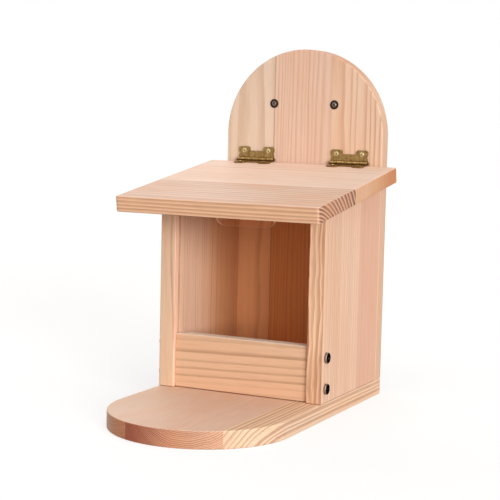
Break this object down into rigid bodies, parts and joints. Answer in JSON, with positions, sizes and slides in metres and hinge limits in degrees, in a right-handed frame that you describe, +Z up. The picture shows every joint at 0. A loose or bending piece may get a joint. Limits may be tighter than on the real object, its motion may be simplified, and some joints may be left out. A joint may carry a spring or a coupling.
{
  "type": "squirrel feeder box",
  "caption": "Wooden squirrel feeder box with a D-shaped platform, arched backboard, hinged sloping lid, front lip board and a clear notched pane in grooves.",
  "frame": {"origin": "centre of the bounding box in plan, at the platform's underside", "axes": "+Z up, the tallest direction; +Y to the back, towards the tree or wall; +X to the viewer's right, the narrowest direction"},
  "size_m": [0.18, 0.2968, 0.3025],
  "materials": {
    "board_softwood": "planed, unfinished, matt",
    "lid_softwood": "planed, unfinished, matt",
    "platform_softwood": "planed, unfinished, matt",
    "clear_acrylic": "clear, polished faces",
    "hinge_brass": "stamped, antique lacquer",
    "hinge_screw_brass": "brassed steel, dull",
    "screw_steel": "zinc plated, dull grey"
  },
  "bodies": {
    "housing": {"platform_base": "platform_softwood", "backboard": "board_softwood", "left_side_panel": "board_softwood", "right_side_panel": "board_softwood", "front_lip_board": "board_softwood", "left_lip_screw_lower": "screw_steel", "left_lip_screw_upper": "screw_steel", "right_lip_screw_lower": "screw_steel", "right_lip_screw_upper": "screw_steel", "left_wall_screw": "screw_steel", "right_wall_screw": "screw_steel", "left_platform_screw_front": "screw_steel", "left_platform_screw_rear": "screw_steel", "right_platform_screw_front": "screw_steel", "right_platform_screw_rear": "screw_steel", "left_back_screw_lower": "screw_steel", "left_back_screw_upper": "screw_steel", "right_back_screw_lower": "screw_steel", "right_back_screw_upper": "screw_steel", "left_hinge_backboard_leaf": "hinge_brass", "left_hinge_backboard_leaf_screw_left": "hinge_screw_brass", "left_hinge_backboard_leaf_screw_right": "hinge_screw_brass", "right_hinge_backboard_leaf": "hinge_brass", "right_hinge_backboard_leaf_screw_left": "hinge_screw_brass", "right_hinge_backboard_leaf_screw_right": "hinge_screw_brass", "left_hinge_pin": "hinge_brass", "right_hinge_pin": "hinge_brass"},
    "lid": {"lid_board": "lid_softwood", "left_hinge_lid_leaf": "hinge_brass", "left_hinge_lid_leaf_screw_left": "hinge_screw_brass", "left_hinge_lid_leaf_screw_right": "hinge_screw_brass", "right_hinge_lid_leaf": "hinge_brass", "right_hinge_lid_leaf_screw_left": "hinge_screw_brass", "right_hinge_lid_leaf_screw_right": "hinge_screw_brass"},
    "window": {"window_pane": "clear_acrylic"}
  },
  "joints": [
    {"name": "lid_hinge", "type": "hinge", "parent": "housing", "child": "lid", "pos_m": [0, 0.10665, 0.20417], "axis": [-1, 0, 0], "range_deg": [0, 100]},
    {"name": "window_slide", "type": "slide", "parent": "housing", "child": "window", "axis": [0, 0, 1], "range_m": [0, 0.002]}
  ]
}
